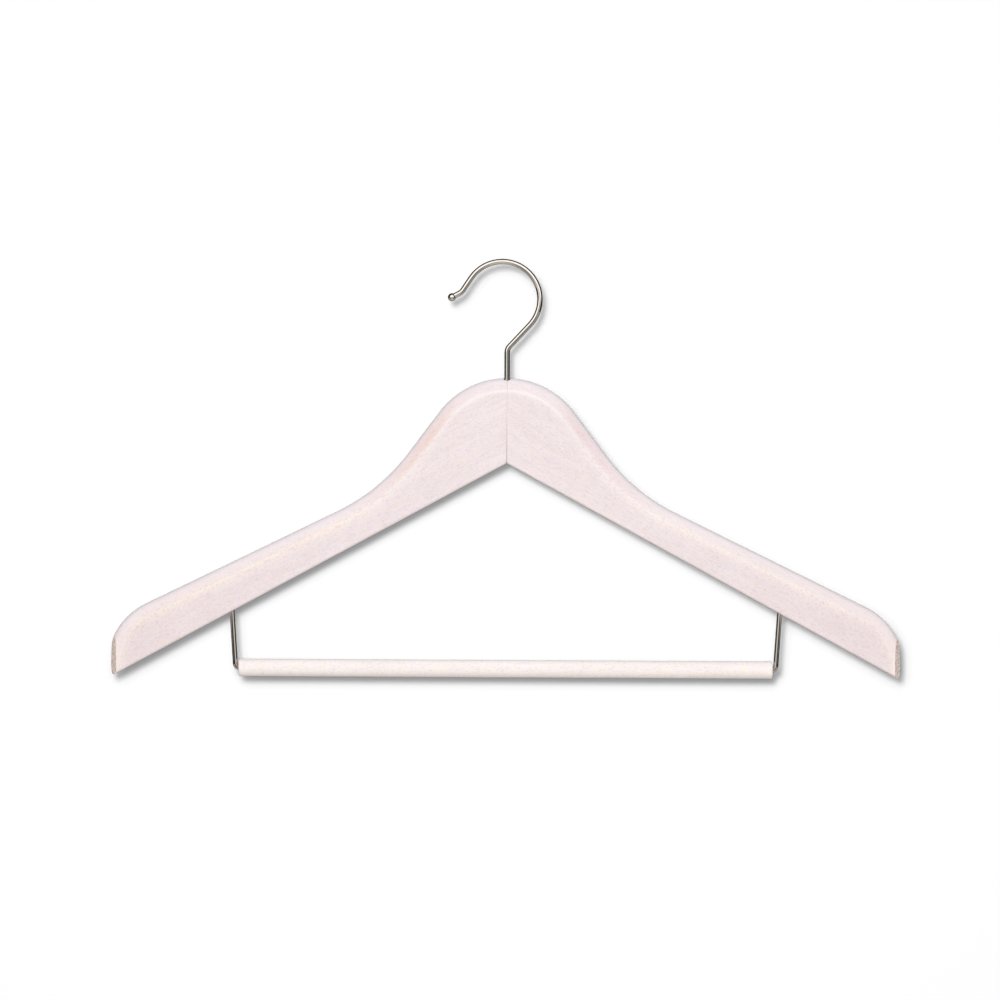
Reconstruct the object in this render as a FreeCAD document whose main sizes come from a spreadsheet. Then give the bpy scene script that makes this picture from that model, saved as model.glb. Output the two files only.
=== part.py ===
"""Contoured wooden suit hanger with a swivel hook and a trouser bar.

Frame: +X to the right, +Z up, the front towards -Y. The origin is where a rail carries the hook, at the
underside of its bow above the swivel axis, so the swivel axis is the Z axis.
"""
import FreeCAD, Part
import math
import os
from types import SimpleNamespace

import Sketcher
from FreeCAD import Vector

# Driving dimensions in millimetres and degrees, which fill the sheet
SIZES = {
    # arm outline seen from the front, measured from the V under the crown
    "arm_reach": 225.7,  # seam to the sawn end, at the back face
    "arm_angle": 28.6,  # underside
    "shoulder_angle": 26.15,  # straight upper edge
    "arm_root": 19.6,  # upright width of the straight arm, run on to the seam
    "crown_height": 49.0,
    "crown_radius": 48.4,
    "flank_angle": 53.3,  # steepest stretch below the crown
    "hollow_radius": 111.0,  # hollow between neck and shoulder
    "nose_radius": 38.0,  # rounded shoulder end
    "nose_trim": 1.0,  # tip of the nose that the end cut takes off
    # arm seen from above
    "seam_thickness": 14.0,
    "front_radius": 790.0,
    "back_radius": 860.0,
    # arm edges
    "upper_round": 6.8,
    "lower_front_round": 1.2,
    "lower_back_round": 4.5,
    "seam_ease": 0.25,  # both arms, so that the joint reads as a fine V
    # dowels across the seam
    "dowel_diameter": 6.0,
    "dowel_length": 30.0,
    "dowel_chamfer": 0.8,
    "lower_dowel_share": 0.16,  # of the height from the V to the crown
    "upper_dowel_share": 0.375,
    "dowel_end_gap": 0.6,
    "glue_gap": 0.05,
    # hook, bent from round wire
    "hook_wire": 3.2,
    "hook_inner": 20.1,  # inner radius of the bow
    "hook_offset": 3.0,  # centre of the bow left of the swivel axis
    "hook_angle": 43.0,  # straight run from upright
    "elbow_radius": 5.0,
    "stem_rise": 45.4,  # crown to the centre of the bow
    "stem_share": 0.49,  # stem inside the crown, of the height down to the V
    "stem_chamfer": 0.5,
    "ball_diameter": 4.7,
    "ball_reach": 7.3,  # ball beyond the bow
    "ball_lift": 1.0,  # ball above the centre of the bow
    "flare_radius": 5.0,
    "flare_angle": 28.0,  # flared end below level
    "flare_length": 5.0,
    "hook_forward": 2.5,  # swivel axis in front of the middle of the wood
    # sleeve in the crown
    "sleeve_wall": 0.45,
    "sleeve_sunk": 0.5,
    "stem_past": 1.5,  # stem below the foot of the sleeve
    "sleeve_clearance": 0.05,
    "bead_rise": 4.0,  # bead above the foot of the sleeve
    "bead_depth": 0.35,
    "bead_half": 0.5,
    "bead_play": 0.2,
    # trouser bar and its wires
    "bar_diameter": 10.0,
    "bar_inset": 72.8,  # bar end inside the sawn end of the arm
    "bar_lift": 5.2,  # bar axis above the foot of the sawn end
    "bar_end_round": 1.0,
    "bar_end_gap": 0.3,
    "bar_clearance": 0.06,
    "bar_countersink": 1.0,
    "bar_wire": 3.0,
    "wire_angle": 3.8,
    "wire_bend": 2.2,
    "wire_grip": 16.0,  # wire inside the bar
    "wire_seat": 14.0,  # wire inside the arm
    "wire_end_gap": 0.6,
    "drill_angle": 31.0,  # drill point from square
    # beyond the solid, for every cut
    "overrun": 5.0,
}


class Size:
    """A size of the sheet, or one worked out from several: its number, and its formula for a binding."""

    def __init__(self, number, formula):
        self.number = number
        self.formula = formula

    def __float__(self):
        return float(self.number)

    def __add__(self, other):
        return Size(self.number + float(other), f"({self.formula} + {formula(other)})")

    def __sub__(self, other):
        return Size(self.number - float(other), f"({self.formula} - {formula(other)})")

    def __mul__(self, other):
        return Size(self.number * float(other), f"({self.formula} * {formula(other)})")

    def __truediv__(self, other):
        return Size(self.number / float(other), f"({self.formula} / {formula(other)})")

    def __neg__(self):
        return Size(-self.number, f"(0 - {self.formula})")


def formula(value):
    return value.formula if isinstance(value, Size) else str(value)


def root(value):
    return Size(math.sqrt(value.number), f"sqrt({value.formula})")


def cosine(angle):
    return Size(math.cos(math.radians(angle.number)), f"cos({angle.formula})")


def sine(angle):
    return Size(math.sin(math.radians(angle.number)), f"sin({angle.formula})")


def tangent(angle):
    return Size(math.tan(math.radians(angle.number)), f"tan({angle.formula})")


def arcsine(value):
    return Size(math.degrees(math.asin(value.number)), f"(asin({value.formula}) / 1 deg)")


def sagitta(radius, reach):
    """How far a bow of this radius has fallen away at this reach."""
    return radius - root(radius * radius - reach * reach)


doc = FreeCAD.newDocument("trouser_hanger")
sheet = doc.addObject("Spreadsheet::Sheet", "sizes")
for row, (alias, number) in enumerate(SIZES.items(), 1):
    sheet.set(f"A{row}", alias)
    sheet.set(f"B{row}", str(number))
    sheet.setAlias(f"B{row}", alias)
doc.recompute()
d = SimpleNamespace(**{alias: Size(number, "sizes." + alias) for alias, number in SIZES.items()})

# Hook: centre line of the wire and the heights that hang from it
bow_radius = d.hook_inner + d.hook_wire / 2
bow_drop = root(d.hook_inner * d.hook_inner - d.hook_offset * d.hook_offset)
crown_drop = bow_drop + d.stem_rise
apex_drop = crown_drop + d.crown_height
stem_depth = d.crown_height * d.stem_share
stem_foot = crown_drop + stem_depth
sleeve_top = crown_drop + d.sleeve_sunk
sleeve_foot = stem_foot - d.stem_past
bead_drop = sleeve_foot - d.bead_rise
stem_radius = d.hook_wire / 2
sleeve_bore = stem_radius + d.sleeve_clearance
sleeve_radius = sleeve_bore + d.sleeve_wall

# Bar and its wires: the leaning leg, its foot on the bar axis and where it enters the arm
lean_run = tangent(d.wire_angle)
slope_run = tangent(d.arm_angle)
bar_half = d.arm_reach - d.bar_inset
bar_drop = d.arm_reach * slope_run - d.bar_lift
wire_radius = d.bar_wire / 2
wire_foot = bar_half + d.bar_end_gap + wire_radius / cosine(d.wire_angle)
entry_reach = (wire_foot + bar_drop * lean_run) / (slope_run * lean_run + 1)
entry_drop = entry_reach * slope_run
wire_rise = bar_drop - entry_drop + d.wire_seat * cosine(d.wire_angle)
bar_forward = (sagitta(d.front_radius, entry_reach) + sagitta(d.back_radius, entry_reach)) / 2

# Dowels across the seam, spaced between the V and the foot of the stem
lower_dowel_rise = d.crown_height * d.lower_dowel_share
upper_dowel_rise = d.crown_height * d.upper_dowel_share

# Arm blank: end of the outline, and a stock deep enough for the curve
blank_reach = d.arm_reach + d.nose_trim
half_thickness = d.seam_thickness / 2
half_stock = d.seam_thickness + d.arm_reach * d.arm_reach / d.front_radius


def new_body(name):
    body = doc.addObject("PartDesign::Body", name)
    body.Label = name
    return body


def new_sketch(body, name, plane, offset=None):
    sketch = body.newObject("Sketcher::SketchObject", name)
    support = next(f for f in body.Origin.OriginFeatures if f.Role == plane)
    sketch.AttachmentSupport = [(support, "")]
    sketch.MapMode = "FlatFace"
    if offset is not None:
        sketch.setExpression("AttachmentOffset.Base.z", offset.formula)
    return sketch


def line(sketch, start, end, construction=False):
    segment = Part.LineSegment(Vector(*start, 0), Vector(*end, 0))
    return sketch.addGeometry(segment, construction)


def arc(sketch, centre, radius, start_degrees, end_degrees):
    """An arc counter-clockwise from the first angle to the second."""
    circle = Part.Circle(Vector(*centre, 0), Vector(0, 0, 1), radius)
    bow = Part.ArcOfCircle(circle, math.radians(start_degrees), math.radians(end_degrees))
    return sketch.addGeometry(bow, False)


def relate(sketch, kind, *where):
    sketch.addConstraint(Sketcher.Constraint(kind, *where))


def measured(sketch, kind, where):
    """The drawn value of a dimension that is about to be bound."""
    if kind == "Radius":
        return sketch.Geometry[where[0]].Radius
    if len(where) == 1:
        segment = sketch.Geometry[where[0]]
        run = segment.EndPoint - segment.StartPoint
        return math.atan2(run.y, run.x) if kind == "Angle" else run.Length
    run = sketch.getPoint(where[2], where[3]) - sketch.getPoint(where[0], where[1])
    return run.x if kind == "DistanceX" else run.y


def dimension(sketch, kind, where, size):
    """A dimension bound to the sheet, and named by its own number in the sketch."""
    value = measured(sketch, kind, where)
    index = sketch.addConstraint(Sketcher.Constraint(kind, *where, value))
    name = f"size{index}"
    sketch.renameConstraint(index, name)
    sketch.setExpression("Constraints." + name, size.formula)


def place(sketch, geometry, point, x, y):
    """Holds a point at x, y from the sketch's origin; zero puts it on the axis."""
    for kind, axis, size in (("DistanceX", -2, x), ("DistanceY", -1, y)):
        if isinstance(size, Size):
            dimension(sketch, kind, (-1, 1, geometry, point), size)
        else:
            relate(sketch, "PointOnObject", geometry, point, axis)


def polygon(sketch, corners):
    """A closed run of straight lines, with every corner held by the sheet."""
    drawn = [(float(x), float(y)) for x, y in corners]
    sides = [line(sketch, a, b) for a, b in zip(drawn, drawn[1:] + drawn[:1])]
    for side, following in zip(sides, sides[1:] + sides[:1]):
        relate(sketch, "Coincident", side, 2, following, 1)
    for side, (x, y) in zip(sides, corners):
        place(sketch, side, 1, x, y)
    return sides


def revolve(body, kind, name, sketch, axis):
    feature = body.newObject("PartDesign::" + kind, name)
    feature.Profile = sketch
    feature.ReferenceAxis = (sketch, [axis])
    feature.Angle = 360
    doc.recompute()
    return feature


def pocket_through(body, name, sketch):
    """A cut right through, both ways from the sketch."""
    feature = body.newObject("PartDesign::Pocket", name)
    feature.Profile = sketch
    feature.Type = "ThroughAll"
    feature.Midplane = True
    doc.recompute()
    return feature


def edges_where(shape, holds):
    """Names of the edges whose inner points all pass the test."""
    names = []
    for number, edge in enumerate(shape.Edges, 1):
        first, last = edge.ParameterRange
        shares = (0.2, 0.5, 0.8)
        points = [edge.valueAt(first + (last - first) * share) for share in shares]
        if all(holds(point) for point in points):
            names.append(f"Edge{number}")
    return names


def dress(body, kind, name, base, edges, size_property, size):
    """A fillet or chamfer on the named edges."""
    feature = body.newObject("PartDesign::" + kind, name)
    feature.Base = (base, edges)
    feature.setExpression(size_property, size.formula)
    doc.recompute()
    return feature


def unit(degrees):
    return Vector(math.cos(math.radians(degrees)), math.sin(math.radians(degrees)), 0)


def xy(point):
    return point.x, point.y


def arm_outline(body):
    """Front outline: crown, flank, hollow, straight shoulder, nose, underside."""
    sketch = new_sketch(body, "arm_outline", "XZ_Plane")
    flank, shoulder = float(d.flank_angle), float(d.shoulder_angle)
    top = Vector(0, float(d.crown_height), 0)
    crown_centre = top - Vector(0, float(d.crown_radius), 0)
    crown_end = crown_centre + unit(90 - flank) * float(d.crown_radius)
    shoulder_start = Vector(0, float(d.arm_root), 0)
    along_flank, along_shoulder = unit(-flank), unit(-shoulder)
    gap = shoulder_start - crown_end
    cross = along_flank.x * along_shoulder.y - along_flank.y * along_shoulder.x
    corner = crown_end + along_flank * ((gap.x * along_shoulder.y - gap.y * along_shoulder.x) / cross)
    trim = float(d.hollow_radius) * math.tan(math.radians((flank - shoulder) / 2))
    hollow_start = corner - along_flank * trim
    hollow_end = corner + along_shoulder * trim
    hollow_centre = hollow_start + unit(90 - flank) * float(d.hollow_radius)
    nose = float(d.nose_radius)
    nose_x = float(blank_reach) - nose + nose * math.sin(math.radians(shoulder))
    nose_start = Vector(nose_x, float(d.arm_root) - nose_x * math.tan(math.radians(shoulder)), 0)
    nose_centre = nose_start - unit(90 - shoulder) * nose
    nose_end = nose_centre + Vector(nose, 0, 0)
    tip = Vector(float(blank_reach), -float(blank_reach * slope_run), 0)

    crown_arc = arc(sketch, xy(crown_centre), float(d.crown_radius), 90 - flank, 90)
    flank_line = line(sketch, xy(crown_end), xy(hollow_start))
    hollow_arc = arc(sketch, xy(hollow_centre), float(d.hollow_radius), 270 - flank, 270 - shoulder)
    shoulder_line = line(sketch, xy(hollow_end), xy(nose_start))
    nose_arc = arc(sketch, xy(nose_centre), nose, 0, 90 - shoulder)
    end_line = line(sketch, xy(nose_end), xy(tip))
    underside = line(sketch, (0, 0), xy(tip))
    seam = line(sketch, (0, 0), xy(top))
    root_point = sketch.addGeometry(Part.Point(shoulder_start), True)

    relate(sketch, "Tangent", crown_arc, 1, flank_line, 1)
    relate(sketch, "Tangent", flank_line, 2, hollow_arc, 1)
    relate(sketch, "Tangent", hollow_arc, 2, shoulder_line, 1)
    relate(sketch, "Tangent", shoulder_line, 2, nose_arc, 2)
    relate(sketch, "Tangent", nose_arc, 1, end_line, 1)
    relate(sketch, "Coincident", end_line, 2, underside, 2)
    relate(sketch, "Coincident", underside, 1, -1, 1)
    relate(sketch, "Coincident", seam, 1, -1, 1)
    relate(sketch, "Coincident", seam, 2, crown_arc, 2)
    relate(sketch, "Vertical", seam)
    relate(sketch, "Vertical", end_line)
    relate(sketch, "PointOnObject", crown_arc, 3, -2)
    relate(sketch, "PointOnObject", root_point, 1, -2)
    relate(sketch, "PointOnObject", root_point, 1, shoulder_line)
    dimension(sketch, "Radius", (crown_arc,), d.crown_radius)
    dimension(sketch, "Radius", (hollow_arc,), d.hollow_radius)
    dimension(sketch, "Radius", (nose_arc,), d.nose_radius)
    dimension(sketch, "DistanceY", (-1, 1, seam, 2), d.crown_height)
    dimension(sketch, "DistanceY", (-1, 1, root_point, 1), d.arm_root)
    dimension(sketch, "DistanceX", (-1, 1, end_line, 1), blank_reach)
    dimension(sketch, "Angle", (flank_line,), -d.flank_angle)
    dimension(sketch, "Angle", (shoulder_line,), -d.shoulder_angle)
    dimension(sketch, "Angle", (underside,), -d.arm_angle)
    return sketch


def plan_offcuts(body):
    """What is sawn away in front of and behind the forward-curving arm, seen from above."""
    sketch = new_sketch(body, "plan_offcuts", "XY_Plane")
    right = blank_reach + d.overrun
    for radius, face, far in (
        (d.front_radius, -half_thickness, -(half_stock + d.overrun)),
        (d.back_radius, half_thickness, half_stock + d.overrun),
    ):
        centre = face - radius
        ends = []
        for x in (right, -d.overrun):
            rise = root(radius * radius - x * x)
            ends.append((float(x), float(centre + rise), math.degrees(math.atan2(float(rise), float(x)))))
        (right_x, right_y, right_angle), (left_x, left_y, left_angle) = ends
        face_arc = arc(sketch, (0, float(centre)), float(radius), right_angle, left_angle)
        right_side = line(sketch, (right_x, right_y), (right_x, float(far)))
        far_side = line(sketch, (right_x, float(far)), (left_x, float(far)))
        left_side = line(sketch, (left_x, float(far)), (left_x, left_y))
        relate(sketch, "Coincident", face_arc, 1, right_side, 1)
        relate(sketch, "Coincident", right_side, 2, far_side, 1)
        relate(sketch, "Coincident", far_side, 2, left_side, 1)
        relate(sketch, "Coincident", left_side, 2, face_arc, 2)
        relate(sketch, "Vertical", right_side)
        relate(sketch, "Vertical", left_side)
        relate(sketch, "Horizontal", far_side)
        place(sketch, face_arc, 3, 0, centre)
        dimension(sketch, "Radius", (face_arc,), radius)
        dimension(sketch, "DistanceX", (-1, 1, right_side, 1), right)
        dimension(sketch, "DistanceX", (-1, 1, left_side, 1), -d.overrun)
        dimension(sketch, "DistanceY", (-1, 1, far_side, 1), far)
    return sketch


def end_offcut(body):
    """What the saw takes off the tip, square to the front face there."""
    sketch = new_sketch(body, "end_offcut", "XY_Plane")
    back = half_thickness - sagitta(d.back_radius, d.arm_reach)
    lean = tangent(arcsine(d.arm_reach / d.front_radius))
    front_y, back_y = -half_stock, half_stock
    outside = blank_reach + half_stock
    polygon(sketch, [
        (d.arm_reach + (front_y - back) * lean, front_y),
        (outside, front_y),
        (outside, back_y),
        (d.arm_reach + (back_y - back) * lean, back_y),
    ])
    return sketch


def hook_bore(body):
    """Blind bore for the sleeve and the stem, on the seam."""
    sketch = new_sketch(body, "hook_bore", "XZ_Plane", d.hook_forward)
    foot = d.crown_height - stem_depth - d.dowel_end_gap
    mouth = d.crown_height + d.overrun
    polygon(sketch, [
        (0, foot),
        (sleeve_radius, foot),
        (sleeve_radius, mouth),
        (0, mouth),
    ])
    return revolve(body, "Groove", "hook_bore_cut", sketch, "V_Axis")


def dowel_bores(body):
    """Two blind bores square to the seam."""
    sketch = new_sketch(body, "dowel_bores", "YZ_Plane")
    bore = d.dowel_diameter / 2 + d.glue_gap
    for rise in (lower_dowel_rise, upper_dowel_rise):
        ring = Part.Circle(Vector(0, float(rise), 0), Vector(0, 0, 1), float(bore))
        circle = sketch.addGeometry(ring, False)
        place(sketch, circle, 3, 0, rise)
        dimension(sketch, "Radius", (circle,), bore)
    feature = body.newObject("PartDesign::Pocket", "dowel_bore_cut")
    feature.Profile = sketch
    feature.Reversed = True
    feature.setExpression("Length", (d.dowel_length / 2 + d.dowel_end_gap).formula)
    doc.recompute()
    return feature


def wire_bore(body):
    """Blind drilled hole in the underside, leaning with the bar wire."""
    sketch = new_sketch(body, "wire_bore", "XZ_Plane", bar_forward)
    across, along = cosine(d.wire_angle), sine(d.wire_angle)
    bore = wire_radius
    shoulder = d.wire_seat + d.wire_end_gap
    tip = shoulder + bore * tangent(d.drill_angle)

    def at(run, side):
        x = entry_reach + along * run
        y = across * run - entry_drop
        return (x, y) if side is None else (x + across * side, y - along * side)

    corners = [at(-d.overrun, None), at(tip, None), at(shoulder, bore), at(-d.overrun, bore)]
    sides = polygon(sketch, corners)
    axis = line(sketch, *[(float(x), float(y)) for x, y in corners[:2]], True)
    relate(sketch, "Coincident", axis, 1, sides[0], 1)
    relate(sketch, "Coincident", axis, 2, sides[0], 2)
    return revolve(body, "Groove", "wire_bore_cut", sketch, "Axis0")


def right_arm():
    body = new_body("right_arm")
    body.setExpression("Placement.Base.y", d.hook_forward.formula)
    body.setExpression("Placement.Base.z", (-apex_drop).formula)
    blank = body.newObject("PartDesign::Pad", "blank")
    blank.Profile = arm_outline(body)
    blank.Midplane = True
    blank.setExpression("Length", (half_stock * 2).formula)
    doc.recompute()
    curved = pocket_through(body, "plan_cut", plan_offcuts(body))

    near = float(d.glue_gap) / 2

    def on_face(point, radius, face):
        return abs(math.hypot(point.x, point.y - float(face - radius)) - float(radius)) < near

    def on_front(point):
        return on_face(point, d.front_radius, -half_thickness)

    def on_back(point):
        return on_face(point, d.back_radius, half_thickness)

    def below(point):
        return abs(point.z + point.x * float(slope_run)) < near

    def upper(point):
        return point.x > near and not below(point)

    upper_edges = edges_where(curved.Shape, lambda p: upper(p) and (on_front(p) or on_back(p)))
    dress(body, "Fillet", "upper_rounding", curved, upper_edges, "Radius", d.upper_round)
    sawn = pocket_through(body, "end_cut", end_offcut(body))
    front_edges = edges_where(sawn.Shape, lambda p: below(p) and on_front(p))
    eased = dress(body, "Fillet", "lower_front_rounding", sawn, front_edges, "Radius", d.lower_front_round)
    back_edges = edges_where(eased.Shape, lambda p: below(p) and on_back(p))
    finished = dress(body, "Fillet", "lower_back_rounding", eased, back_edges, "Radius", d.lower_back_round)
    seam_edges = edges_where(finished.Shape, lambda p: abs(p.x) < near)
    dress(body, "Chamfer", "seam_easing", finished, seam_edges, "Size", d.seam_ease)
    hook_bore(body)
    dowel_bores(body)
    wire_bore(body)
    return body


def mirrored(source, name):
    twin = doc.addObject("Part::Mirroring", name)
    twin.Source = source
    twin.Normal = Vector(1, 0, 0)
    twin.Label = name
    doc.recompute()
    return twin


def dowel(name, rise):
    body = new_body(name)
    body.setExpression("Placement.Base.y", d.hook_forward.formula)
    body.setExpression("Placement.Base.z", (rise - apex_drop).formula)
    sketch = new_sketch(body, name + "_profile", "XZ_Plane")
    end, radius, chamfer = d.dowel_length / 2, d.dowel_diameter / 2, d.dowel_chamfer
    polygon(sketch, [
        (-end, 0),
        (end, 0),
        (end, radius - chamfer),
        (end - chamfer, radius),
        (chamfer - end, radius),
        (-end, radius - chamfer),
    ])
    revolve(body, "Revolution", name + "_turning", sketch, "H_Axis")
    return body


def pipe(body, name, path, profile):
    feature = body.newObject("PartDesign::AdditivePipe", name)
    feature.Profile = profile
    feature.Spine = path
    doc.recompute()
    return feature


def wire_section(body, name, plane, offset, x, y, radius):
    """Round section of a wire, square to the start of its path."""
    sketch = new_sketch(body, name, plane, offset)
    ring = Part.Circle(Vector(float(x), float(y), 0), Vector(0, 0, 1), float(radius))
    circle = sketch.addGeometry(ring, False)
    place(sketch, circle, 3, x, y)
    dimension(sketch, "Radius", (circle,), radius)
    return sketch


def hook_path(body):
    """Stem, elbow, straight run, bow, and the flared end that stops in the ball."""
    sketch = new_sketch(body, "hook_path", "XZ_Plane")
    bow, lean = float(bow_radius), float(d.hook_angle)
    elbow, flare = float(d.elbow_radius), float(d.flare_radius)
    centre = Vector(-float(d.hook_offset), -float(bow_drop), 0)
    bow_start = centre + unit(-lean) * bow
    bend = Vector(0, bow_start.y - bow_start.x / math.tan(math.radians(lean)), 0)
    trim = elbow * math.tan(math.radians(lean / 2))
    stem_end = bend - Vector(0, trim, 0)
    run_start = bend + unit(90 - lean) * trim
    ball = centre + Vector(-float(bow_radius + d.ball_reach), float(d.ball_lift), 0)
    outward = unit(180 + float(d.flare_angle))
    flare_end = ball - outward * float(d.flare_length)
    flare_centre = flare_end + Vector(outward.y, -outward.x, 0) * flare
    span = flare_centre - centre
    turn = math.degrees(math.atan2(span.y, span.x) - math.acos((bow + flare) / span.Length))
    bow_end = centre + unit(turn) * bow
    flare_start = flare_centre - unit(turn) * flare

    stem = line(sketch, (0, -float(stem_foot)), xy(stem_end))
    elbow_arc = arc(sketch, (elbow, stem_end.y), elbow, 180 - lean, 180)
    run = line(sketch, xy(run_start), xy(bow_start))
    bow_arc = arc(sketch, xy(centre), bow, -lean, turn)
    fall = line(sketch, xy(bow_end), xy(flare_start))
    flare_arc = arc(sketch, xy(flare_centre), flare, 270 + float(d.flare_angle), 180 + turn)
    end = line(sketch, xy(flare_end), xy(ball))

    relate(sketch, "Tangent", stem, 2, elbow_arc, 2)
    relate(sketch, "Tangent", elbow_arc, 1, run, 1)
    relate(sketch, "Tangent", run, 2, bow_arc, 1)
    relate(sketch, "Tangent", bow_arc, 2, fall, 1)
    relate(sketch, "Tangent", fall, 2, flare_arc, 2)
    relate(sketch, "Tangent", flare_arc, 1, end, 1)
    relate(sketch, "Vertical", stem)
    place(sketch, stem, 1, 0, -stem_foot)
    place(sketch, bow_arc, 3, -d.hook_offset, -bow_drop)
    dimension(sketch, "Radius", (elbow_arc,), d.elbow_radius)
    dimension(sketch, "Angle", (run,), -d.hook_angle + 90)
    dimension(sketch, "Radius", (bow_arc,), bow_radius)
    dimension(sketch, "Radius", (flare_arc,), d.flare_radius)
    dimension(sketch, "Angle", (end,), d.flare_angle - 180)
    dimension(sketch, "Distance", (end,), d.flare_length)
    place(sketch, end, 2, -(d.hook_offset + bow_radius + d.ball_reach), d.ball_lift - bow_drop)
    return sketch


def hook():
    body = new_body("hook")
    section = wire_section(body, "hook_section", "XY_Plane", -stem_foot, 0, 0, stem_radius)
    wire = pipe(body, "hook_bend", hook_path(body), section)
    rim = edges_where(wire.Shape, lambda p: abs(p.z + float(stem_foot)) < float(d.glue_gap))
    dress(body, "Chamfer", "stem_foot", wire, rim, "Size", d.stem_chamfer)
    ball = body.newObject("PartDesign::AdditiveSphere", "ball_tip")
    ball.setExpression("Radius", (d.ball_diameter / 2).formula)
    ball.setExpression("Placement.Base.x", (-(d.hook_offset + bow_radius + d.ball_reach)).formula)
    ball.setExpression("Placement.Base.z", (d.ball_lift - bow_drop).formula)
    doc.recompute()
    sketch = new_sketch(body, "bead_groove", "XZ_Plane")
    inner, outer = stem_radius - d.bead_depth, stem_radius + d.sleeve_clearance
    flat = d.bead_half + d.bead_play
    wide = flat + d.bead_depth + d.sleeve_clearance
    polygon(sketch, [
        (inner, flat - bead_drop),
        (inner, -(bead_drop + flat)),
        (outer, -(bead_drop + wide)),
        (outer, wide - bead_drop),
    ])
    revolve(body, "Groove", "bead_groove_cut", sketch, "V_Axis")
    return body


def hook_sleeve():
    """Thin sleeve pressed into the crown, rolled into the stem's groove so that the hook turns in it."""
    body = new_body("hook_sleeve")
    sketch = new_sketch(body, "sleeve_profile", "XZ_Plane")
    inner, outer, depth = sleeve_bore, sleeve_radius, d.bead_depth
    flat, wide = d.bead_half, d.bead_half + d.bead_depth
    polygon(sketch, [
        (inner, -sleeve_top),
        (inner, wide - bead_drop),
        (inner - depth, flat - bead_drop),
        (inner - depth, -(bead_drop + flat)),
        (inner, -(bead_drop + wide)),
        (inner, -sleeve_foot),
        (outer, -sleeve_foot),
        (outer, -(bead_drop + wide)),
        (outer - depth, -(bead_drop + flat)),
        (outer - depth, flat - bead_drop),
        (outer, wide - bead_drop),
        (outer, -sleeve_top),
    ])
    revolve(body, "Revolution", "sleeve_turning", sketch, "V_Axis")
    return body


def on_bar_axis(body):
    body.setExpression("Placement.Base.y", (d.hook_forward - bar_forward).formula)
    body.setExpression("Placement.Base.z", (-(apex_drop + bar_drop)).formula)


def trouser_bar():
    """Round wooden bar with a countersunk blind bore in each end for its wire."""
    body = new_body("trouser_bar")
    on_bar_axis(body)
    sketch = new_sketch(body, "bar_profile", "XZ_Plane")
    end, radius = bar_half, d.bar_diameter / 2
    bore = wire_radius + d.bar_clearance
    bottom = end - d.wire_grip - d.wire_end_gap
    half = [
        (bottom, 0),
        (bottom, bore),
        (end - d.bar_countersink, bore),
        (end, bore + d.bar_countersink),
        (end, radius),
    ]
    polygon(sketch, half + [(-x, y) for x, y in reversed(half)])
    turned = revolve(body, "Revolution", "bar_turning", sketch, "H_Axis")
    near = float(d.glue_gap)

    def on_rim(point):
        at_end = abs(abs(point.x) - float(end)) < near
        return at_end and abs(math.hypot(point.y, point.z) - float(radius)) < near

    dress(body, "Fillet", "bar_ends", turned, edges_where(turned.Shape, on_rim), "Radius", d.bar_end_round)
    return body


def right_bar_wire():
    """Leaning leg from the arm, bent inwards into the end of the bar."""
    body = new_body("right_bar_wire")
    on_bar_axis(body)
    start = bar_half - d.wire_grip
    section = wire_section(body, "wire_section", "YZ_Plane", start, 0, 0, wire_radius)
    sketch = new_sketch(body, "wire_path", "XZ_Plane")
    lean, bend = float(d.wire_angle), float(d.wire_bend)
    foot = Vector(float(wire_foot), 0, 0)
    trim = bend * math.tan(math.radians((90 - lean) / 2))
    leg_start = foot + unit(90 - lean) * trim
    top = foot + unit(90 - lean) * (float(wire_rise) / math.cos(math.radians(lean)))
    grip = line(sketch, (float(start), 0), (foot.x - trim, 0))
    bend_arc = arc(sketch, (foot.x - trim, bend), bend, 270, 360 - lean)
    leg = line(sketch, xy(leg_start), xy(top))
    corner = sketch.addGeometry(Part.Point(foot), True)
    relate(sketch, "Tangent", grip, 2, bend_arc, 1)
    relate(sketch, "Tangent", bend_arc, 2, leg, 1)
    relate(sketch, "Horizontal", grip)
    relate(sketch, "PointOnObject", corner, 1, leg)
    place(sketch, grip, 1, start, 0)
    place(sketch, corner, 1, wire_foot, 0)
    dimension(sketch, "Radius", (bend_arc,), d.wire_bend)
    dimension(sketch, "Angle", (leg,), -d.wire_angle + 90)
    dimension(sketch, "DistanceY", (-1, 1, leg, 2), wire_rise)
    pipe(body, "wire_bend_sweep", sketch, section)
    return body


def main():
    arm = right_arm()
    wire = right_bar_wire()
    pieces = [
        arm,
        mirrored(arm, "left_arm"),
        dowel("lower_dowel", lower_dowel_rise),
        dowel("upper_dowel", upper_dowel_rise),
        hook(),
        hook_sleeve(),
        trouser_bar(),
        wire,
        mirrored(wire, "left_bar_wire"),
    ]
    doc.recompute()
    failed = [o.Name for o in doc.Objects if "Invalid" in o.State or "Error" in o.State]
    if failed:
        raise RuntimeError("failed features: " + ", ".join(failed))
    os.makedirs("parts", exist_ok=True)
    for piece in pieces:
        shape = piece.Shape
        if shape.isNull() or not shape.isValid() or len(shape.Solids) != 1:
            raise RuntimeError("bad solid: " + piece.Label)
        box = shape.BoundBox
        print(f"{piece.Label}: {shape.Volume:.1f} mm3, x {box.XMin:.2f} to {box.XMax:.2f}, "
              f"y {box.YMin:.2f} to {box.YMax:.2f}, z {box.ZMin:.2f} to {box.ZMax:.2f}")
        shape.exportStep(f"parts/{piece.Label}.step")


main()
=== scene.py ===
import math

import bmesh
import bpy
from mathutils import Matrix, Vector

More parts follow.
